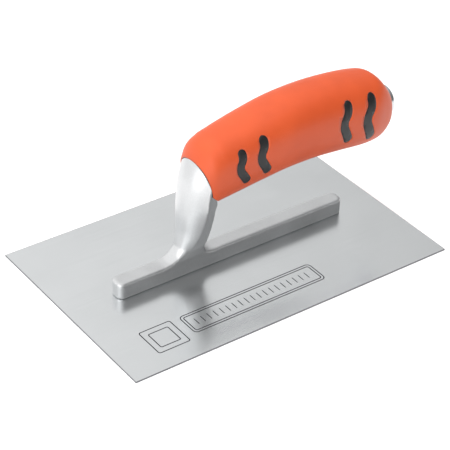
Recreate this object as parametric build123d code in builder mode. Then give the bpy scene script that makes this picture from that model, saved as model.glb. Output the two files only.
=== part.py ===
"""Finishing trowel: a steel blade riveted to a cast mounting, with a two-shot grip bolted on.

Millimetres, +Z up. The origin is the centre of the blade's working face, which lies in the plane Z = 0.
+X runs from the toe, where the mounting's neck stands, to the free end of the grip.
"""

import os
from math import hypot

from build123d import *

# ---- Driving dimensions -------------------------------------------------------------------------

BLADE_LENGTH = 203.2
BLADE_WIDTH = 127.0
BLADE_THICKNESS = 0.7

BAR_TOE_X = -72.8
BAR_HEEL_X = 76.7
BAR_WIDTH = 9.7
BAR_HEIGHT = 9.7
BAR_CORNER = 3.8
BAR_TOP_EDGE = 1.6

RIVET_COUNT = 7
RIVET_PITCH = 22.0
RIVET_RADIUS = 1.5
RIVET_HEAD_RADIUS = 2.2
RIVET_TAPER = 45.0
RIVET_DEPTH = 6.2
RIVET_HOLE_DEPTH = 6.5

# Each section of the neck: front point, rear point, half width, how far back of the front the widest
# point lies as a share of the depth, and half width of the rear face. X, Z pairs on the middle plane.
NECK_SECTIONS = [
    ((-36.0, 9.0), (-17.6, 9.0), 4.8, 0.28, 4.1),
    ((-34.0, 18.0), (-17.1, 16.5), 6.4, 0.31, 5.1),
    ((-32.7, 27.0), (-15.6, 24.5), 9.8, 0.38, 6.8),
    ((-32.6, 36.0), (-14.2, 31.5), 11.6, 0.45, 7.4),
    ((-31.6, 46.5), (-13.6, 37.5), 13.1, 0.45, 8.0),
    ((-29.9, 57.5), (-13.5, 41.2), 13.4, 0.42, 9.0),
    ((-25.1, 68.0), (-14.9, 45.0), 14.1, 0.36, 10.0),
]
HEEL_BULGE = 1.2
NECK_TOE_X = -34.4
NECK_HEEL_X = -17.5
TOE_FILLET = 8.0
HEEL_FILLET = 3.5
FILLET_HALF_WIDTH = 4.0
FILLET_ROOT = 1.5

# Each section of the grip: top point, bottom point, half width. X, Z pairs on the middle plane.
GRIP_SECTIONS = [
    ((-25.1, 68.0), (-18.5, 41.5), 14.1),
    ((-20.5, 76.0), (-17.0, 42.0), 15.3),
    ((-14.0, 79.6), (-13.0, 43.0), 16.2),
    ((-2.0, 82.4), (-3.0, 44.6), 17.3),
    ((10.0, 85.0), (12.0, 46.6), 17.9),
    ((28.0, 88.2), (29.0, 48.3), 18.4),
    ((48.0, 89.2), (47.0, 48.6), 19.0),
    ((68.0, 88.3), (64.0, 47.2), 19.2),
    ((85.0, 86.0), (80.0, 45.7), 19.2),
    ((92.8, 84.0), (92.7, 45.2), 16.2),
    ((98.6, 77.8), (99.8, 49.6), 13.0),
    ((101.9, 73.0), (103.5, 54.6), 9.1),
]
GRIP_POWER = 2.4
COVER_WALL = 2.5

# The grip sits on the neck along this bent line: a steep face with a short shelf below it.
SEAT_TOP = (-27.6, 78.0)
SEAT_KNEE = (-20.9, 51.0)
SEAT_HEEL = (-12.9, 43.0)
FLANGE_THICKNESS = 0.7

# Wavy ribs of the core that show through the cover: upper end, lower end and width of each, and the
# points where a wave's three arcs meet, as shares of its length along it and aside from it.
WAVES = [
    ((-4.7, 73.1), (-2.0, 57.5), 4.7),
    ((8.7, 76.8), (10.8, 59.6), 5.1),
    ((63.8, 80.2), (63.8, 61.2), 5.4),
    ((80.4, 79.2), (80.0, 57.8), 5.9),
]
WAVE_BENDS = [(0.0, 0.0), (0.28, -0.10), (0.66, -0.15), (1.0, 0.0)]
RIB_ROOT = 9.0

# Cutters reach this far past what they cut, and the box that clears the ribs' middle is this long.
CUT_OVERRUN = 1.0
PRISM_REACH = 40.0
CLEARING_SIZE = 400.0
CUT_GRIP_X = 20.0
CUT_TOE_X = -60.0
CUT_LOW_Z = 20.0

BOLT_RADIUS = 4.0
BOLT_CLEARANCE = 4.3
BOLT_LENGTH = 114.0
BOLT_HEAD_RADIUS = 6.2
BOLT_HEAD_HEIGHT = 2.6
BOLT_HEAD_EDGE = 1.8
SOCKET_RADIUS = 2.4
SOCKET_DEPTH = 1.6
BOSS_RADIUS = 6.6
BOSS_LENGTH = 14.0
WASHER_RADIUS = 8.8
WASHER_THICKNESS = 3.2
WASHER_EDGE = 1.6
CUP_RADIUS = 6.4
CUP_DEPTH = 1.7

# The tang is a round spigot on the bolt's axis; its root is inside the neck.
TANG_END_DEPTH = 129.0
TANG_RADIUS = 6.5
TANG_LENGTH = 28.0
TANG_GAP = 0.1
TANG_END_GAP = 0.5
TANG_HOLE_DEPTH = 20.0

# ---- Helpers ------------------------------------------------------------------------------------


def section_plane(front, rear):
    """Plane through two points of the middle plane, with local Y from the rear point to the front one."""
    origin = ((front[0] + rear[0]) / 2, 0, (front[1] + rear[1]) / 2)
    across = (front[1] - rear[1], 0, rear[0] - front[0])
    return Plane(origin=origin, x_dir=(0, 1, 0), z_dir=across)


def handle_share(power):
    """How far a Bezier handle reaches so that a quarter curve bulges as a superellipse of this power."""
    return (8 * 2 ** (-1 / power) - 4) / 3


def oval(top, bottom, half_width, widest=0.5, top_power=GRIP_POWER, bottom_power=GRIP_POWER, wall=0.0):
    """Closed outline of four quarter curves through two points of the middle plane.

    The top and bottom pairs may close at different rates, and a wall draws the outline in.
    """
    length = hypot(top[0] - bottom[0], top[1] - bottom[1]) - 2 * wall
    middle = length * (0.5 - widest)
    top_y, bottom_y = middle + length * widest, middle - length * (1 - widest)
    upper, lower = handle_share(top_power), handle_share(bottom_power)
    right, left = half_width - wall, wall - half_width
    with BuildSketch(section_plane(top, bottom)) as outline:
        with BuildLine():
            for wide in (right, left):
                shoulder = (wide, middle + upper * (top_y - middle))
                flank = (wide, middle + lower * (bottom_y - middle))
                Bezier((0, top_y), (upper * wide, top_y), shoulder, (wide, middle))
                Bezier((wide, middle), flank, (lower * wide, bottom_y), (0, bottom_y))
        make_face()
    return outline.sketch


def neck_section(front, rear, half_width, widest, heel_half_width):
    """Outline of the neck: an arched front face, flat flanks and a slightly crowned rear face."""
    length = hypot(front[0] - rear[0], front[1] - rear[1])
    front_y, rear_y = length / 2, -length / 2
    flank_y, heel_y = front_y - widest * length, rear_y + HEEL_BULGE
    with BuildSketch(section_plane(front, rear)) as outline:
        with BuildLine():
            ThreePointArc((-half_width, flank_y), (0, front_y), (half_width, flank_y))
            Line((half_width, flank_y), (heel_half_width, heel_y))
            ThreePointArc((heel_half_width, heel_y), (0, rear_y), (-heel_half_width, heel_y))
            Line((-heel_half_width, heel_y), (-half_width, flank_y))
        make_face()
    return outline.sketch


def neck_solid():
    """Loft of the neck from inside the bar to the grip."""
    with BuildPart() as neck:
        loft([neck_section(*section) for section in NECK_SECTIONS])
    return neck.part


def side_prism(outline):
    """Prism across the trowel over an outline given as X, Z pairs."""
    with BuildPart() as prism:
        with BuildSketch(Plane.XZ):
            with BuildLine():
                Polyline(*outline, close=True)
            make_face()
        extrude(amount=PRISM_REACH, both=True)
    return prism.part


def wave_points(upper, lower):
    """Where one wave's three arcs meet, and the direction that the first one sets off in."""
    down = Vector(lower[0] - upper[0], lower[1] - upper[1])
    aside = down.rotate(Axis.Z, 90)
    points = [Vector(*upper) + share * down + sway * aside for share, sway in WAVE_BENDS]
    return points, down


# The seat splits everything here into what lies towards the grip and what lies towards the toe.
seat_line = [SEAT_TOP, SEAT_KNEE, SEAT_HEEL]
shifted_line = [(x + FLANGE_THICKNESS, z) for x, z in seat_line]
grip_corners = [(CUT_GRIP_X, SEAT_HEEL[1]), (CUT_GRIP_X, SEAT_TOP[1])]
toe_corners = [(SEAT_HEEL[0], CUT_LOW_Z), (CUT_TOE_X, CUT_LOW_Z), (CUT_TOE_X, SEAT_TOP[1])]
grip_side = side_prism([*seat_line, *grip_corners])
toe_side = side_prism([*seat_line, *toe_corners])
flange_band = side_prism([*seat_line, *reversed(shifted_line)])


def grip_solid(wall=0.0):
    """The grip's outer shape, or the same shape drawn in by a wall, cut to its seat on the neck."""
    with BuildPart() as grip:
        loft([oval(*section, wall=wall) for section in GRIP_SECTIONS])
        add(toe_side, mode=Mode.SUBTRACT)
    return grip.part


# ---- Shared geometry ----------------------------------------------------------------------------

# The grip's free end is flat, and the bolt runs in from its middle, square to it.
end_top, end_bottom, _ = GRIP_SECTIONS[-1]
bolt_plane = section_plane(end_top, end_bottom)
tang_plane = bolt_plane.offset(-TANG_END_DEPTH)

neck_body = neck_solid()
outer_body = grip_solid()
inner_body = grip_solid(COVER_WALL)

with BuildPart() as wave_ribs:
    with BuildSketch(Plane.XZ):
        for upper, lower, width in WAVES:
            (start, high, low, end), heading = wave_points(upper, lower)
            with BuildLine():
                crook = TangentArc(start, high, tangent=heading)
                bow = TangentArc(high, low, tangent=crook % 1)
                TangentArc(low, end, tangent=bow % 1)
                offset(amount=width / 2)
            make_face()
    extrude(amount=PRISM_REACH, both=True)
    add(outer_body, mode=Mode.INTERSECT)
    Box(CLEARING_SIZE, 2 * RIB_ROOT, CLEARING_SIZE, mode=Mode.SUBTRACT)

# ---- Blade --------------------------------------------------------------------------------------

bar_middle = (BAR_TOE_X + BAR_HEEL_X) / 2
first_rivet = bar_middle - RIVET_PITCH * (RIVET_COUNT - 1) / 2
rivet_positions = [(first_rivet + RIVET_PITCH * index, 0) for index in range(RIVET_COUNT)]

with BuildPart() as blade:
    with BuildSketch():
        Rectangle(BLADE_LENGTH, BLADE_WIDTH)
    extrude(amount=BLADE_THICKNESS)
    with BuildSketch():
        with Locations(*rivet_positions):
            Circle(RIVET_HEAD_RADIUS)
    extrude(amount=BLADE_THICKNESS, taper=RIVET_TAPER, mode=Mode.SUBTRACT)

# ---- Rivets, flush below and blind in the bar -----------------------------------------------------

with BuildPart() as blade_rivets:
    with BuildSketch():
        with Locations(*rivet_positions):
            Circle(RIVET_HEAD_RADIUS)
    extrude(amount=BLADE_THICKNESS, taper=RIVET_TAPER)
    with BuildSketch(Plane.XY.offset(BLADE_THICKNESS)):
        with Locations(*rivet_positions):
            Circle(RIVET_RADIUS)
    extrude(amount=RIVET_DEPTH)

# ---- Mounting: bar, neck and tang in one casting ---------------------------------------------------

bar_top = BLADE_THICKNESS + BAR_HEIGHT

with BuildPart() as mounting:
    with BuildSketch(Plane.XY.offset(BLADE_THICKNESS)):
        with Locations((bar_middle, 0)):
            RectangleRounded(BAR_HEEL_X - BAR_TOE_X, BAR_WIDTH, BAR_CORNER)
    extrude(amount=BAR_HEIGHT)
    fillet(edges().group_by(Axis.Z)[-1], BAR_TOP_EDGE)
    add(neck_body)
    with BuildSketch(Plane.XZ):
        for edge_x, radius, side in ((NECK_TOE_X, TOE_FILLET, -1), (NECK_HEEL_X, HEEL_FILLET, 1)):
            root = edge_x - side * FILLET_ROOT
            outer = edge_x + side * radius
            tip, foot = bar_top + radius, bar_top - FILLET_ROOT
            with BuildLine():
                Polyline((edge_x, tip), (root, tip), (root, foot), (outer, foot), (outer, bar_top))
                CenterArc((outer, tip), radius, 270, -90 * side)
            make_face()
    extrude(amount=FILLET_HALF_WIDTH, both=True)
    add(grip_side, mode=Mode.SUBTRACT)
    with BuildSketch(tang_plane):
        Circle(TANG_RADIUS)
    extrude(amount=TANG_LENGTH)
    with BuildSketch(tang_plane.offset(TANG_LENGTH)):
        Circle(BOLT_RADIUS)
    extrude(amount=-TANG_HOLE_DEPTH, mode=Mode.SUBTRACT)
    with BuildSketch(Plane.XY.offset(BLADE_THICKNESS)):
        with Locations(*rivet_positions):
            Circle(RIVET_RADIUS)
    extrude(amount=RIVET_HOLE_DEPTH, mode=Mode.SUBTRACT)

# ---- Grip core: hard inner moulding with the front flange, the wavy ribs and the rear boss ----------

with BuildPart() as front_flange:
    add(outer_body)
    add(flange_band, mode=Mode.INTERSECT)

with BuildPart() as grip_core:
    add(inner_body)
    add(front_flange.part)
    with BuildSketch(bolt_plane):
        Circle(BOSS_RADIUS)
    extrude(amount=-BOSS_LENGTH)
    with BuildSketch(bolt_plane.offset(CUT_OVERRUN)):
        Circle(BOLT_CLEARANCE)
    extrude(amount=-TANG_END_DEPTH, mode=Mode.SUBTRACT)
    with BuildSketch(tang_plane):
        Circle(TANG_RADIUS + TANG_GAP)
    extrude(amount=TANG_LENGTH + TANG_END_GAP, mode=Mode.SUBTRACT)
    add(wave_ribs.part)

# ---- Grip cover: soft outer moulding, cut out round the core ----------------------------------------

with BuildPart() as grip_cover:
    add(outer_body)
    add(front_flange.part, mode=Mode.SUBTRACT)
    add(inner_body, mode=Mode.SUBTRACT)
    with BuildSketch(bolt_plane.offset(CUT_OVERRUN)):
        Circle(BOSS_RADIUS)
    extrude(amount=-BOSS_LENGTH, mode=Mode.SUBTRACT)
    add(wave_ribs.part, mode=Mode.SUBTRACT)

# ---- Cup washer and handle bolt ----------------------------------------------------------------------

with BuildPart() as cup_washer:
    with BuildSketch(bolt_plane):
        Circle(WASHER_RADIUS)
    extrude(amount=WASHER_THICKNESS)
    fillet(edges().filter_by(GeomType.CIRCLE).sort_by(Axis.X)[-1], WASHER_EDGE)
    with BuildSketch(bolt_plane.offset(WASHER_THICKNESS)):
        Circle(CUP_RADIUS)
    extrude(amount=-CUP_DEPTH, mode=Mode.SUBTRACT)
    with BuildSketch(bolt_plane):
        Circle(BOLT_CLEARANCE)
    extrude(amount=WASHER_THICKNESS, mode=Mode.SUBTRACT)

head_plane = bolt_plane.offset(WASHER_THICKNESS - CUP_DEPTH)

with BuildPart() as handle_bolt:
    with BuildSketch(head_plane):
        Circle(BOLT_HEAD_RADIUS)
    extrude(amount=BOLT_HEAD_HEIGHT)
    fillet(edges().filter_by(GeomType.CIRCLE).sort_by(Axis.X)[-1], BOLT_HEAD_EDGE)
    with BuildSketch(head_plane):
        Circle(BOLT_RADIUS)
    extrude(amount=-BOLT_LENGTH)
    with BuildSketch(head_plane.offset(BOLT_HEAD_HEIGHT)):
        RegularPolygon(SOCKET_RADIUS, 6)
    extrude(amount=-SOCKET_DEPTH, mode=Mode.SUBTRACT)

# ---- Output ------------------------------------------------------------------------------------------

os.makedirs("parts", exist_ok=True)
pieces = {
    "blade": blade,
    "blade_rivets": blade_rivets,
    "mounting": mounting,
    "grip_core": grip_core,
    "grip_cover": grip_cover,
    "cup_washer": cup_washer,
    "handle_bolt": handle_bolt,
}
for name, piece in pieces.items():
    piece.part.label = name
    export_step(piece.part, f"parts/{name}.step")
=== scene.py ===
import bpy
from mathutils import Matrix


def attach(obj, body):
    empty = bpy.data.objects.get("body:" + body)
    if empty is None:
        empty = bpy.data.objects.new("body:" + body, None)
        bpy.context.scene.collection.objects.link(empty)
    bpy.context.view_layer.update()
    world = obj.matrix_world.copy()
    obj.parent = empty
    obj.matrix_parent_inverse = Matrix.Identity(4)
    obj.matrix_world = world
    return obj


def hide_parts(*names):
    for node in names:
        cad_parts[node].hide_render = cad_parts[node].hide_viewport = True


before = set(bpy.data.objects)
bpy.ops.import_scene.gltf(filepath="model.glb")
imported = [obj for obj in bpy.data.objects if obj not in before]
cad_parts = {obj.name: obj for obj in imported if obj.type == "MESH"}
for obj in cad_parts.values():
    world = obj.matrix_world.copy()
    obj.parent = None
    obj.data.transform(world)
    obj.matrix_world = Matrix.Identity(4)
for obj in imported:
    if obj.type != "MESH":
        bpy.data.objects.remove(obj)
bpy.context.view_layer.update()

from math import atan2, cos, pi, radians, sin

import bmesh
import bpy
from mathutils import Matrix, Vector

MM = 0.001
BODY = "root"

# ---- Blade, in millimetres -------------------------------------------------------------------------

BLADE_HALF_LENGTH, BLADE_HALF_WIDTH, BLADE_THICKNESS = 101.6, 63.5, 0.7
# Painted shade along the blade's edges: where it starts, where it is full, and how strong it is.
EDGE_BAND, EDGE_RIM = 0.3, 0.05
EDGE_SHADE = 0.9

# Etched panel: each frame's middle, half sizes and corner radius. Then the first and last tick, their
# pitch, and where they start and end across the blade.
ETCH_LINE = 0.36
ETCH_SOFT = 0.1
ETCH_FLOOR = (0.4, 0.6)
ETCHED_FRAMES = [
    (-12.5, -40.5, 42.5, 7.6, 2.4),
    (-12.5, -40.5, 40.9, 6.0, 1.2),
    (-70.0, -42.0, 9.5, 9.5, 1.2),
    (-70.0, -42.0, 6.0, 6.0, 0.8),
]
ETCHED_TICKS = (-49.0, 24.0, 4.0, -43.0, -38.0)
TICK_REACH = 0.5

# ---- Casting, in millimetres -----------------------------------------------------------------------

BAR_TOE_X, BAR_REAR_X, BAR_HALF_WIDTH, BAR_TOP_Z = -72.8, 76.7, 4.85, 10.4
BAR_CORNER, BAR_CORNER_SEGMENTS = 3.8, 8
BAR_EDGE, BAR_EDGE_SEGMENTS = 1.5, 4

# Neck: front point, rear point, half width, how far back the widest point is as a share of the
# depth, and half width of the rear face. A point is X, Z on the middle plane.
NECK = [
    ((-34.0, 18.0), (-17.1, 16.5), 6.4, 0.31, 5.1),
    ((-32.7, 27.0), (-15.6, 24.5), 9.8, 0.38, 6.8),
    ((-32.6, 36.0), (-14.2, 31.5), 11.6, 0.45, 7.4),
    ((-31.6, 46.5), (-13.6, 37.5), 13.1, 0.45, 8.0),
    ((-29.9, 57.5), (-13.5, 41.2), 13.4, 0.42, 9.0),
    ((-25.1, 68.0), (-14.9, 45.0), 14.0, 0.36, 10.0),
    ((-18.0, 76.0), (-15.0, 49.0), 14.6, 0.36, 10.5),
]
HEEL_BULGE = 1.2
NECK_FRONT_POINTS, NECK_REAR_POINTS, NECK_FLANK_POINTS = 31, 17, 13
NECK_RINGS_PER_SPAN = 5

# Foot of the neck: heights of its level rings over the bar, and the fillets that they follow. The
# pairs are at the bar and at the highest ring.
FOOT_HEIGHTS = [-2.0, 0.0, 0.35, 0.9, 1.7, 2.8, 4.2, 5.8]
FOOT_TOE, FOOT_HEEL = -34.2, -17.4
TOE_FILLET, HEEL_FILLET = 9.5, 3.6
FOOT_HALF_WIDTHS = (4.6, 5.9)
FOOT_ARCHES = (0.8, 4.2)
FOOT_REAR_HALF_WIDTH = 4.6

# Softening of the cast edges, and the stretch round the foot that gets most of it.
CAST_GRAIN = 0.5
CAST_PASSES, FOOT_PASSES = 4, 14
FOOT_X, FOOT_Z = (-48.0, -10.0), (7.5, 17.0)

# ---- Grip, in millimetres --------------------------------------------------------------------------

# Top point, bottom point and half width of each section.
GRIP = [
    ((-25.1, 68.0), (-18.5, 41.5), 14.1),
    ((-20.6, 76.0), (-18.2, 41.7), 15.5),
    ((-14.0, 79.7), (-15.6, 42.6), 16.3),
    ((-2.0, 82.4), (-3.0, 44.6), 17.3),
    ((10.0, 85.0), (12.0, 46.6), 17.9),
    ((28.0, 88.2), (29.0, 48.3), 18.4),
    ((48.0, 89.2), (47.0, 48.6), 19.0),
    ((68.0, 88.3), (64.0, 47.2), 19.2),
    ((85.0, 86.0), (80.0, 45.7), 19.2),
    ((92.8, 84.0), (92.7, 45.2), 16.2),
    ((98.6, 77.8), (99.8, 49.6), 13.0),
    ((101.9, 73.0), (103.5, 54.6), 9.1),
]
COLLAR_SECTION = 2
OVAL_POWER = 2.4
RING_POINTS = 72
RINGS_PER_SPAN = 7
COVER_WALL = 2.5

# Line where the casting ends and the grip starts, from the top down.
SEAT = [(-27.6, 78.0), (-20.9, 51.0), (-12.9, 43.0)]
SEAM = 0.25
FLANGE, FLANGE_INSET = 0.7, 0.8

# Waves: upper end, lower end and width of each, and the bends of their middle line as shares of its
# length along it and aside from it.
WAVES = [
    ((-4.7, 73.1), (-2.0, 57.5), 4.7),
    ((8.7, 76.8), (10.8, 59.6), 5.1),
    ((63.8, 80.2), (63.8, 61.2), 5.4),
    ((80.4, 79.2), (80.0, 57.8), 5.9),
]
WAVE_BENDS = [(0.0, 0.0), (0.28, -0.10), (0.66, -0.15), (1.0, 0.0)]
WAVE_GROOVE = 0.1
WAVE_SUNK = 0.12
WAVE_STEPS = 12

# Points nearer than this are merged.
WELD = 0.002

# How far cutting prisms reach past what they cut.
CUT_HALF_WIDTH = 30.0
CUT_TOE_X, CUT_REAR_X = -60.0, 20.0
CUT_LOW_Z, CUT_HIGH_Z = 30.0, 90.0

# ---- Finishes --------------------------------------------------------------------------------------

STEEL_TONES = ((0.68, 0.697, 0.705, 1.0), (0.77, 0.787, 0.795, 1.0))
# Colour of the painted shade along the blade's edges.
PAINTED_EDGE_SHADE_TONE = (0.10, 0.10, 0.115, 1.0)
ETCH_TONE = (0.045, 0.045, 0.055, 1.0)
CAST_TONES = ((0.60, 0.606, 0.612, 1.0), (0.71, 0.718, 0.725, 1.0))
ORANGE_TONES = ((0.58, 0.074, 0.014, 1.0), (0.65, 0.087, 0.018, 1.0))
BLACK_TONES = ((0.006, 0.006, 0.0065, 1.0), (0.012, 0.012, 0.0125, 1.0))
ZINC_TONES = ((0.60, 0.61, 0.63, 1.0), (0.74, 0.745, 0.76, 1.0))
FLOOR_TONES = ((0.95, 0.95, 0.95, 1.0), (0.97, 0.97, 0.97, 1.0))

# ---- Studio, in metres and degrees -----------------------------------------------------------------

FLOOR_HALF_SIZE = 20.0

# Lights: name, place, size, power, and whether they show in reflections.
LIGHTS = [
    ("overhead_light", (-0.1, 0.1, 1.4), (1.6, 1.6), 16.0, False),
    ("toe_light", (-1.1, -0.45, 0.34), (1.0, 0.7), 2.9, True),
]
LIGHT_AIM = (0.0, 0.0, 0.03)

# Surroundings: where they are brightest, then the lean towards it at which they start and stop to
# brighten, and their lowest and highest level.
BRIGHT_WAY = (-0.7, 0.45, 0.5)
WORLD_LEVELS = (-0.6, 0.85, 0.2, 1.22)

# Camera: azimuth, elevation and roll. Its offset from the origin is along its own axes, in
# millimetres.
CAMERA_ANGLES = (-37.435, 34.752, 2.384)
CAMERA_OFFSET = (-1.16, 15.23, 914.9)
CAMERA_LENS = 134.68
CAMERA_CLIP = (0.01, 50.0)

# ---- Shader maths ----------------------------------------------------------------------------------


class Value:
    """A shader socket that works in Python expressions."""

    def __init__(self, finish, socket):
        self.finish, self.socket = finish, socket

    def maths(self, operation, *others):
        return self.finish.maths(operation, self, *others)

    def __add__(self, other):
        return self.maths("ADD", other)

    def __sub__(self, other):
        return self.maths("SUBTRACT", other)

    def __rsub__(self, other):
        return self.finish.maths("SUBTRACT", other, self)

    def __mul__(self, other):
        return self.maths("MULTIPLY", other)

    def __pow__(self, other):
        return self.maths("POWER", other)

    def __rpow__(self, other):
        return self.finish.maths("POWER", other, self)

    def __abs__(self):
        return self.maths("ABSOLUTE")

    __radd__ = __add__
    __rmul__ = __mul__

    def above(self, other):
        """The larger of two values."""
        return self.maths("MAXIMUM", other)

    def swing(self, amount):
        """A pattern from 0 to 1 made to swing about 0, by an amount from end to end."""
        return (self - 0.5) * amount

    def step(self, start, end, low=0.0, high=1.0):
        """A smooth rise from low at start to high at end."""
        settings = {"interpolation_type": "SMOOTHSTEP"}
        inputs = {"Value": self, "From Min": start, "From Max": end, "To Min": low, "To Max": high}
        return self.finish.node("ShaderNodeMapRange", settings, inputs)

    def between(self, low, high, soft):
        """1 from low to high and 0 past them, over a soft edge."""
        return self.step(low, low + soft) * self.step(high, high - soft)


class Finish:
    """The nodes of a material or of the world."""

    def __init__(self, owner):
        owner.use_nodes = True
        self.owner, self.tree = owner, owner.node_tree
        self.tree.nodes.clear()

    def node(self, kind, settings=None, inputs=None, output=0):
        """A node with its settings made first, then its sockets fed. Gives one of its outputs."""
        made = self.tree.nodes.new(kind)
        for name, value in (settings or {}).items():
            setattr(made, name, value)
        for name, value in (inputs or {}).items():
            self.feed(made.inputs[name], value)
        return Value(self, made.outputs[output])

    def feed(self, socket, value):
        if isinstance(value, Value):
            self.tree.links.new(value.socket, socket)
        elif value is not None:
            socket.default_value = value

    def maths(self, operation, *values):
        return self.node("ShaderNodeMath", {"operation": operation}, dict(enumerate(values)))

    def mix(self, share, first, second):
        """Colour that goes from first to second as share goes from 0 to 1."""
        inputs = {0: share, 6: first, 7: second}
        return self.node("ShaderNodeMix", {"data_type": "RGBA"}, inputs, 2)

    def place(self):
        """The place on the piece, in metres."""
        return self.node("ShaderNodeTexCoord", output="Object")

    def axes(self):
        """X, Y and Z of the place on the piece."""
        place = self.place()
        return [self.node("ShaderNodeSeparateXYZ", {}, {0: place}, axis) for axis in range(3)]

    def noise(self, scale, detail=2.0, roughness=0.5, stretch=(1.0, 1.0, 1.0)):
        """Cloudy pattern from 0 to 1, finer on the axes that are stretched."""
        place = self.node("ShaderNodeMapping", {}, {"Vector": self.place(), "Scale": stretch})
        inputs = {"Vector": place, "Scale": scale, "Detail": detail, "Roughness": roughness}
        return self.node("ShaderNodeTexNoise", {}, inputs)

    def bump(self, height, distance, strength, under=None):
        inputs = {"Height": height, "Distance": distance, "Strength": strength, "Normal": under}
        return self.node("ShaderNodeBump", {}, inputs)

    def close(self, colour, roughness, normal=None, metallic=0.0):
        """Finishes a material with a Principled shader."""
        inputs = {"Base Color": colour, "Roughness": roughness, "Normal": normal}
        inputs["Metallic"] = metallic
        self.end(self.node("ShaderNodeBsdfPrincipled", {}, inputs), "ShaderNodeOutputMaterial")
        return self.owner

    def end(self, shader, kind):
        """Feeds a shader to an output node."""
        self.feed(self.tree.nodes.new(kind).inputs["Surface"], shader)


# ---- Materials -------------------------------------------------------------------------------------


def ground_steel(name, marked):
    """Sheet steel ground along its length. The marked piece also gets a plain etched panel and painted shade
    along its edges.
    """
    steel = Finish(bpy.data.materials.new(name))
    grain = steel.noise(1.0, 4.0, 0.6, (60.0, 9000.0, 900.0))
    streak = steel.noise(1.0, 3.0, 0.55, (12.0, 1400.0, 300.0))
    cloud = steel.noise(22.0, 3.0)
    shade = 0.5 + grain.swing(0.3) + streak.swing(0.25) + cloud.swing(0.5)
    colour = steel.mix(shade.step(0.2, 0.8), *STEEL_TONES)
    roughness = 0.23 + streak.swing(0.05) + cloud.swing(0.08) + grain.swing(0.04)
    if marked:
        mark = etched_panel(steel)
        # Painted shade: the blade's edges darkened as if they reflected dark surroundings.
        colour = steel.mix(painted_edge_shade(steel), colour, PAINTED_EDGE_SHADE_TONE)
        colour = steel.mix(mark, colour, ETCH_TONE)
        roughness = roughness + mark * 0.3
    normal = steel.bump(grain, 0.000006, 0.5)
    return steel.close(colour, roughness, normal, 1.0)


def painted_edge_shade(steel):
    """Painted shade along the blade's sheared edges, standing in for the dark that their edge faces reflect,
    from 0 to 1.
    """
    bands = []
    for place, half_size in zip(steel.axes(), (BLADE_HALF_LENGTH, BLADE_HALF_WIDTH)):
        bands.append(abs(place).step((half_size - EDGE_BAND) * MM, (half_size - EDGE_RIM) * MM))
    return bands[0].above(bands[1]) * EDGE_SHADE


def etched_panel(steel):
    """Where plain double frames and a row of ticks are etched on the top side, from 0 to 1."""
    x, y, z = steel.axes()
    first_x, last_x, pitch, low_y, high_y = ETCHED_TICKS
    phase = steel.maths("PINGPONG", x - first_x * MM, pitch / 2 * MM)
    tick = phase.step(ETCH_LINE * 0.9 * MM, ETCH_LINE * 0.5 * MM)
    row = x.between((first_x - TICK_REACH) * MM, (last_x + TICK_REACH) * MM, ETCH_SOFT * MM)
    lines = tick * row * y.between(low_y * MM, high_y * MM, ETCH_SOFT * MM)
    for etched in ETCHED_FRAMES:
        lines = lines.above(etched_frame(x, y, *etched))
    return lines * z.step(ETCH_FLOOR[0] * MM, ETCH_FLOOR[1] * MM)


def etched_frame(x, y, centre_x, centre_y, half_x, half_y, corner):
    """Where the outline of a rectangle with round corners is, from 0 to 1."""
    across = (abs(x - centre_x * MM) - (half_x - corner) * MM).above(0.0)
    along = (abs(y - centre_y * MM) - (half_y - corner) * MM).above(0.0)
    distance = (across ** 2.0 + along ** 2.0) ** 0.5 - corner * MM
    return abs(distance).step(ETCH_LINE * MM, ETCH_LINE * 0.6 * MM)


def cast_aluminium():
    """Tumbled casting: bright, with soft dents and a faint skin of fine pits."""
    metal = Finish(bpy.data.materials.new("cast_aluminium"))
    dents = metal.noise(160.0, 3.0)
    skin_pits = metal.noise(1400.0, 3.0, 0.6)
    cloud = metal.noise(45.0)
    shade = (0.5 + cloud.swing(0.8) + skin_pits.swing(0.5)).step(0.2, 0.8)
    colour = metal.mix(shade, *CAST_TONES)
    roughness = 0.36 + cloud.swing(0.14) + skin_pits.swing(0.10)
    normal = metal.bump(skin_pits, 0.00006, 0.5, metal.bump(dents, 0.0004, 0.35))
    return metal.close(colour, roughness, normal, 1.0)


def soft_rubber():
    """Orange overmould with a fine eggshell texture."""
    rubber = Finish(bpy.data.materials.new("orange_cover"))
    grain = rubber.noise(2600.0)
    cloud = rubber.noise(40.0, 3.0)
    colour = rubber.mix(cloud.step(0.3, 0.7), *ORANGE_TONES)
    roughness = 0.46 + cloud.swing(0.12) + grain.swing(0.12)
    return rubber.close(colour, roughness, rubber.bump(grain, 0.00003, 0.5))


def black_moulding():
    """Hard black core."""
    plastic = Finish(bpy.data.materials.new("black_core"))
    grain = plastic.noise(2200.0)
    colour = plastic.mix(plastic.noise(90.0), *BLACK_TONES)
    roughness = 0.42 + grain.swing(0.2)
    return plastic.close(colour, roughness, plastic.bump(grain, 0.00004, 0.5))


def zinc_plate():
    """Bright plated steel of the washer and the bolt."""
    plate = Finish(bpy.data.materials.new("zinc_plate"))
    cloud = plate.noise(500.0, 3.0)
    fine = plate.noise(4000.0)
    colour = plate.mix(cloud, *ZINC_TONES)
    roughness = 0.2 + cloud.swing(0.14) + fine.swing(0.08)
    return plate.close(colour, roughness, plate.bump(fine, 0.00001, 0.4), 1.0)


# ---- Outlines --------------------------------------------------------------------------------------


def signed_power(value, exponent):
    return abs(value) ** exponent * (1 if value >= 0 else -1)


def oval_point(angle, half_width, half_length):
    """Point of the grip's oval. Angle 0 is the top."""
    across = half_width * signed_power(sin(angle), 2 / OVAL_POWER)
    along = half_length * signed_power(cos(angle), 2 / OVAL_POWER)
    return Vector((across, along))


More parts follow.
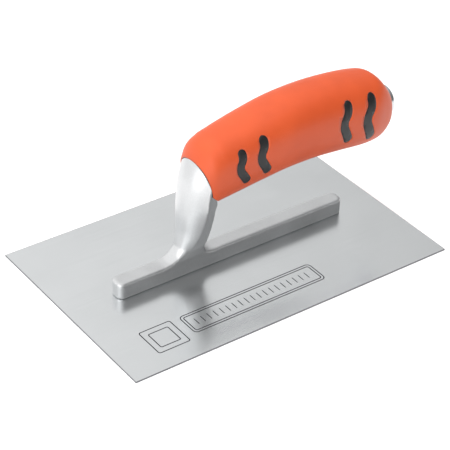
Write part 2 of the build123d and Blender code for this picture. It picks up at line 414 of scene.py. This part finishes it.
def neck_outline(half_width, half_length, widest, rear_half_width):
    """Points of the neck's outline: an arched front face, flat flanks and a slightly crowned rear."""
    flank_end = (half_width, half_length - widest * 2 * half_length)
    rear_end = (-rear_half_width, -half_length + HEEL_BULGE)
    front = arch_points(flank_end, half_length, NECK_FRONT_POINTS)
    rear = arch_points(rear_end, -half_length, NECK_REAR_POINTS)
    points = []
    for run, end in ((front, rear_end), (rear, flank_end)):
        points += run
        for step in range(1, NECK_FLANK_POINTS):
            share = step / NECK_FLANK_POINTS
            points.append(tuple(a + (b - a) * share for a, b in zip(run[-1], end)))
    return points


def arch_points(corner, crown, count):
    """Points of an arc from a corner over a crown on the middle line to the other corner."""
    across, rise = corner[0], crown - corner[1]
    radius = (across ** 2 + rise ** 2) / (2 * abs(rise))
    reach = 2 * atan2(abs(rise), abs(across))
    side = radius if across > 0 else -radius
    depth = radius if rise > 0 else -radius
    angles = [reach * (1 - 2 * step / (count - 1)) for step in range(count)]
    return [(side * sin(angle), crown - depth * (1 - cos(angle))) for angle in angles]


def catmull(points, spans):
    """Rows of numbers, with more rows blended in smoothly between each pair."""
    before = [2 * a - b for a, b in zip(points[0], points[1])]
    after = [2 * a - b for a, b in zip(points[-1], points[-2])]
    padded = [before, *points, after]
    rows = []
    for index in range(len(points) - 1):
        columns = list(zip(*padded[index : index + 4]))
        for step in range(spans):
            rows.append([blended(step / spans, *column) for column in columns])
    rows.append(list(points[-1]))
    return rows


def blended(share, a, b, c, d):
    """Number between b and c, on the smooth curve that also heeds their neighbours a and d."""
    slope, curve, twist = c - a, 2 * a - 5 * b + 4 * c - d, 3 * b - a - 3 * c + d
    return 0.5 * (2 * b + slope * share + curve * share ** 2 + twist * share ** 3)


def turned(vector, angle):
    across = vector.x * cos(angle) - vector.y * sin(angle)
    along = vector.x * sin(angle) + vector.y * cos(angle)
    return Vector((across, along))


# ---- Mesh helpers ----------------------------------------------------------------------------------


def ring(mesh, top, bottom, points):
    """Closed ring of edges through an outline, on the plane of two points of the middle plane."""
    made = bmesh.ops.create_circle(mesh, segments=len(points), radius=1.0)
    middle = Vector((top[0] + bottom[0], 0, top[1] + bottom[1])) / 2
    up = Vector((top[0] - bottom[0], 0, top[1] - bottom[1])).normalized()
    for vertex, (across, along) in zip(made["verts"], points):
        vertex.co = (middle + Vector((0, across, 0)) + up * along) * MM
    return list(dict.fromkeys(edge for vertex in made["verts"] for edge in vertex.link_edges))


def skin(rings):
    """Closed mesh through a list of rings, each given as top, bottom and outline."""
    mesh = bmesh.new()
    loops = [ring(mesh, *spec) for spec in rings]
    for first, second in zip(loops, loops[1:]):
        bmesh.ops.bridge_loops(mesh, edges=first + second)
    for loop in (loops[0], loops[-1]):
        bmesh.ops.edgeloop_fill(mesh, edges=loop)
    bmesh.ops.recalc_face_normals(mesh, faces=mesh.faces)
    return mesh


def prism(name, outline):
    """Prism across the trowel over an outline of X, Z pairs."""
    mesh = bmesh.new()
    corners = [mesh.verts.new((x * MM, -CUT_HALF_WIDTH * MM, z * MM)) for x, z in outline]
    face = mesh.faces.new(corners)
    pushed = bmesh.ops.extrude_face_region(mesh, geom=[face])
    moved = [item for item in pushed["geom"] if isinstance(item, bmesh.types.BMVert)]
    bmesh.ops.translate(mesh, verts=moved, vec=(0, 2 * CUT_HALF_WIDTH * MM, 0))
    bmesh.ops.recalc_face_normals(mesh, faces=mesh.faces)
    return finished(mesh, name)


def finished(mesh, name, finish=None):
    """Smooth object of a bmesh, with its finish."""
    data = bpy.data.meshes.new(name)
    mesh.to_mesh(data)
    mesh.free()
    for face in data.polygons:
        face.use_smooth = True
    made = bpy.data.objects.new(name, data)
    bpy.context.scene.collection.objects.link(made)
    if finish:
        coat(made, finish)
    return made


def coat(piece, finish):
    """Gives a piece one finish all over."""
    piece.data.materials.clear()
    piece.data.materials.append(finish)


def duplicate(piece):
    made = piece.copy()
    made.data = piece.data.copy()
    bpy.context.scene.collection.objects.link(made)
    return made


def applied(piece):
    """The piece with its modifiers made part of its mesh."""
    graph = bpy.context.evaluated_depsgraph_get()
    data = bpy.data.meshes.new_from_object(piece.evaluated_get(graph))
    piece.modifiers.clear()
    piece.data = data
    return piece


def carve(piece, operation, other):
    """Exact boolean of a piece with another, which is removed."""
    cut = piece.modifiers.new("cut", "BOOLEAN")
    cut.operation, cut.solver, cut.object = operation, "EXACT", other
    applied(piece)
    bpy.data.objects.remove(other)
    return piece


def weld(piece):
    """Merges the points of a carved piece that all but touch, so that no sliver stays."""
    mesh = bmesh.new()
    mesh.from_mesh(piece.data)
    bmesh.ops.remove_doubles(mesh, verts=mesh.verts, dist=WELD * MM)
    bmesh.ops.dissolve_degenerate(mesh, edges=mesh.edges, dist=WELD * MM)
    loose = [vertex for vertex in mesh.verts if not vertex.link_faces]
    bmesh.ops.delete(mesh, geom=loose, context="VERTS")
    mesh.to_mesh(piece.data)
    mesh.free()


def own(piece, node):
    """Attaches a piece to the body and hides the CAD node that it stands for."""
    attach(piece, BODY)
    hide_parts(node)


# ---- Casting ---------------------------------------------------------------------------------------


def make_casting(finish):
    casting = finished(bar_mesh(), "casting", finish)
    carve(casting, "UNION", finished(skin(neck_rings()), "neck", finish))
    remesh = casting.modifiers.new("cast", "REMESH")
    remesh.mode, remesh.voxel_size, remesh.use_smooth_shade = "VOXEL", CAST_GRAIN * MM, True
    soften(applied(casting).data)
    behind = [(CUT_REAR_X, SEAT[-1][1]), (CUT_REAR_X, CUT_HIGH_Z), (SEAT[0][0], CUT_HIGH_Z)]
    carve(casting, "DIFFERENCE", prism("seat", [*SEAT, *behind]))
    coat(casting, finish)
    own(casting, "mounting")


def bar_mesh():
    """The bar on the blade, with round upright corners and softened top edges."""
    low = Vector((BAR_TOE_X, -BAR_HALF_WIDTH, BLADE_THICKNESS)) * MM
    high = Vector((BAR_REAR_X, BAR_HALF_WIDTH, BAR_TOP_Z)) * MM
    bar = bmesh.new()
    bmesh.ops.create_cube(bar, size=1.0)
    bmesh.ops.scale(bar, vec=high - low, verts=bar.verts)
    bmesh.ops.translate(bar, vec=(high + low) / 2, verts=bar.verts)
    rounded(bar, edges_with(bar, 1), BAR_CORNER, BAR_CORNER_SEGMENTS)
    rounded(bar, edges_with(bar, 2), BAR_EDGE, BAR_EDGE_SEGMENTS)
    return bar


def edges_with(bar, high_ends):
    """Edges that have so many of their two ends on the bar's top."""
    middle_z = (BLADE_THICKNESS + BAR_TOP_Z) / 2 * MM
    return [e for e in bar.edges if sum(v.co.z > middle_z for v in e.verts) == high_ends]


def rounded(mesh, edges, radius, segments):
    settings = {"offset": radius * MM, "segments": segments, "profile": 0.5, "material": -1}
    bmesh.ops.bevel(mesh, geom=edges, affect="EDGES", **settings)


def neck_rings():
    """Rings of the neck, from inside the bar up to past the seat."""
    rows = foot_rows() + [[*front, *rear, *sizes] for front, rear, *sizes in NECK]
    rings = []
    for front_x, front_z, rear_x, rear_z, half_width, widest, rear_half in catmull(rows, NECK_RINGS_PER_SPAN):
        half_length = Vector((front_x - rear_x, front_z - rear_z)).length / 2
        points = neck_outline(half_width, half_length, widest, rear_half)
        rings.append(((front_x, front_z), (rear_x, rear_z), points))
    return rings


def foot_rows():
    """Level rings at the neck's foot, whose front and rear follow the fillets on the bar's top."""
    rows = []
    for height in FOOT_HEIGHTS:
        front = FOOT_TOE - fillet_reach(TOE_FILLET, height)
        rear = FOOT_HEEL + fillet_reach(HEEL_FILLET, height)
        share = max(height, 0.0) / FOOT_HEIGHTS[-1]
        half_width, arch = (a + (b - a) * share for a, b in (FOOT_HALF_WIDTHS, FOOT_ARCHES))
        ends = [front, BAR_TOP_Z + height, rear, BAR_TOP_Z + height]
        rows.append([*ends, half_width, arch / (rear - front), FOOT_REAR_HALF_WIDTH])
    return rows


def fillet_reach(radius, height):
    """How far a fillet's surface is from the wall that it runs down from, at a height."""
    gap = radius - min(max(height, 0.0), radius)
    return radius - (radius ** 2 - gap ** 2) ** 0.5


def soften(data):
    """Smooths a cast mesh, most of all round the foot, and keeps it on the blade."""
    mesh = bmesh.new()
    mesh.from_mesh(data)
    evened(mesh, mesh.verts, CAST_PASSES)
    evened(mesh, [vertex for vertex in mesh.verts if in_foot(vertex.co / MM)], FOOT_PASSES)
    for vertex in mesh.verts:
        vertex.co.z = max(vertex.co.z, BLADE_THICKNESS * MM)
    mesh.to_mesh(data)
    mesh.free()


def evened(mesh, vertices, passes):
    axes = {"use_axis_x": True, "use_axis_y": True, "use_axis_z": True}
    for _ in range(passes):
        bmesh.ops.smooth_vert(mesh, verts=vertices, factor=0.5, **axes)


def in_foot(place):
    return FOOT_X[0] < place.x < FOOT_X[1] and FOOT_Z[0] < place.z < FOOT_Z[1]


# ---- Grip ------------------------------------------------------------------------------------------


def make_grip(cover_finish, core_finish):
    cover = grip_blank("grip_cover_rubber", cover_finish, 0.0, SEAM)
    whole = grip_blank("grip_whole", core_finish, WAVE_SUNK)
    core = grip_blank("grip_core_moulding", core_finish, COVER_WALL)
    for upper, lower, width in WAVES:
        window = prism("window", wave_outline(upper, lower, width + 2 * WAVE_GROOVE))
        carve(cover, "DIFFERENCE", window)
        rib = prism("rib", wave_outline(upper, lower, width))
        carve(core, "UNION", carve(rib, "INTERSECT", duplicate(whole)))
    bpy.data.objects.remove(whole)
    flange = grip_blank("flange", core_finish, FLANGE_INSET)
    band = prism("band", [*SEAT, *[(x + FLANGE, z) for x, z in reversed(SEAT)]])
    carve(core, "UNION", carve(band, "INTERSECT", flange))
    coat(core, core_finish)
    weld(core)
    for piece in (cover, core):
        piece.visible_glossy = False
    own(cover, "grip_cover")
    own(core, "grip_core")


def grip_blank(name, finish, wall, back_by=0.0):
    """The grip's outer shape drawn in by a wall, and cut at the seat or at a line set back from it."""
    line = [(x + back_by, z) for x, z in SEAT]
    ahead = [(line[-1][0], CUT_LOW_Z), (CUT_TOE_X, CUT_LOW_Z)]
    toe = prism("toe", [(CUT_TOE_X, SEAT[0][1]), *line, *ahead])
    return carve(finished(skin(grip_rings(wall)), name, finish), "DIFFERENCE", toe)


def grip_rings(wall):
    """Rings of the grip's outer shape, drawn in by a wall. The collar meets the rest at a crease."""
    rows = [[*top, *bottom, half_width] for top, bottom, half_width in GRIP]
    collar = catmull(rows[: COLLAR_SECTION + 1], RINGS_PER_SPAN)
    body = catmull(rows[COLLAR_SECTION:], RINGS_PER_SPAN)
    angles = [2 * pi * index / RING_POINTS for index in range(RING_POINTS)]
    rings = []
    for top_x, top_z, bottom_x, bottom_z, half_width in collar + body[1:]:
        half_length = Vector((top_x - bottom_x, top_z - bottom_z)).length / 2 - wall
        points = [oval_point(angle, half_width - wall, half_length) for angle in angles]
        rings.append(((top_x, top_z), (bottom_x, bottom_z), points))
    return rings


def wave_outline(upper, lower, width):
    """Outline of one wave: arcs that run on from one another, with round ends."""
    start, down = Vector(upper), Vector(lower) - Vector(upper)
    aside = Vector((-down.y, down.x))
    marks = [start + down * share + aside * sway for share, sway in WAVE_BENDS]
    heading = down.normalized()
    sides = [[], []]
    for first, second in zip(marks, marks[1:]):
        chord = second - first
        turn = 2 * atan2(heading.x * chord.y - heading.y * chord.x, heading.dot(chord))
        for step in range(WAVE_STEPS):
            part = step / WAVE_STEPS * turn
            reach = chord.length * sin(part / 2) / sin(turn / 2)
            widen(sides, first + turned(heading, part / 2) * reach, turned(heading, part), width)
        heading = turned(heading, turn)
    widen(sides, marks[-1], heading, width)
    outline = sides[0] + round_end(marks[-1], sides[0][-1]) + sides[1][::-1]
    return outline + round_end(marks[0], sides[1][0])


def widen(sides, point, heading, width):
    """Adds a point to both sides of a wave, half a width off its middle line."""
    normal = Vector((-heading.y, heading.x)) * width / 2
    sides[0].append(point + normal)
    sides[1].append(point - normal)


def round_end(centre, start):
    """Points of a half circle round a centre, clockwise, between its two ends."""
    angles = [-pi * step / WAVE_STEPS for step in range(1, WAVE_STEPS)]
    return [centre + turned(start - centre, angle) for angle in angles]


# ---- Studio ----------------------------------------------------------------------------------------


def make_floor():
    mesh = bmesh.new()
    bmesh.ops.create_grid(mesh, x_segments=1, y_segments=1, size=FLOOR_HALF_SIZE)
    paper = Finish(bpy.data.materials.new("studio_floor"))
    colour = paper.mix(paper.noise(3.0), *FLOOR_TONES)
    finished(mesh, "studio_floor", paper.close(colour, 0.9))


def make_world():
    """White surroundings, bright beyond the toe and dim behind the near side of the grip's end."""
    bpy.context.scene.world = bpy.data.worlds.new("studio")
    sky = Finish(bpy.context.scene.world)
    way = sky.node("ShaderNodeTexCoord", output="Generated")
    inputs = {0: way, 1: Vector(BRIGHT_WAY).normalized()}
    lean = sky.node("ShaderNodeVectorMath", {"operation": "DOT_PRODUCT"}, inputs, "Value")
    inputs = {"Color": (1.0, 1.0, 1.0, 1.0), "Strength": lean.step(*WORLD_LEVELS)}
    sky.end(sky.node("ShaderNodeBackground", {}, inputs), "ShaderNodeOutputWorld")


def soft_box(name, place, size, power, reflected):
    light = bpy.data.lights.new(name, "AREA")
    light.shape, light.energy = "RECTANGLE", power
    light.size, light.size_y = size
    lamp = bpy.data.objects.new(name, light)
    lamp.location = place
    lamp.rotation_euler = (Vector(LIGHT_AIM) - Vector(place)).to_track_quat("-Z", "Y").to_euler()
    lamp.visible_glossy = reflected
    bpy.context.scene.collection.objects.link(lamp)


def make_camera():
    azimuth, elevation, roll = (radians(angle) for angle in CAMERA_ANGLES)
    back = Vector((sin(azimuth) * cos(elevation), -cos(azimuth) * cos(elevation), sin(elevation)))
    right = Vector((cos(azimuth), sin(azimuth), 0.0))
    up = back.cross(right)
    tilted_right = right * cos(roll) + up * sin(roll)
    tilted_up = up * cos(roll) - right * sin(roll)
    turn = Matrix((tilted_right, tilted_up, back)).transposed()
    camera = bpy.data.cameras.new("camera")
    camera.lens = CAMERA_LENS
    camera.clip_start, camera.clip_end = CAMERA_CLIP
    holder = bpy.data.objects.new("camera", camera)
    holder.matrix_world = Matrix.Translation(turn @ (Vector(CAMERA_OFFSET) * MM)) @ turn.to_4x4()
    bpy.context.scene.collection.objects.link(holder)
    bpy.context.scene.camera = holder


# ---- The trowel in its studio ----------------------------------------------------------------------

make_casting(cast_aluminium())
make_grip(soft_rubber(), black_moulding())
coat(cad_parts["blade"], ground_steel("blade_steel", True))
coat(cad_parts["blade_rivets"], ground_steel("rivet_steel", False))
plating = zinc_plate()
for node in ("cup_washer", "handle_bolt"):
    coat(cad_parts[node], plating)

make_floor()
make_world()
for light in LIGHTS:
    soft_box(*light)
make_camera()
bpy.context.scene.view_settings.view_transform = "Standard"
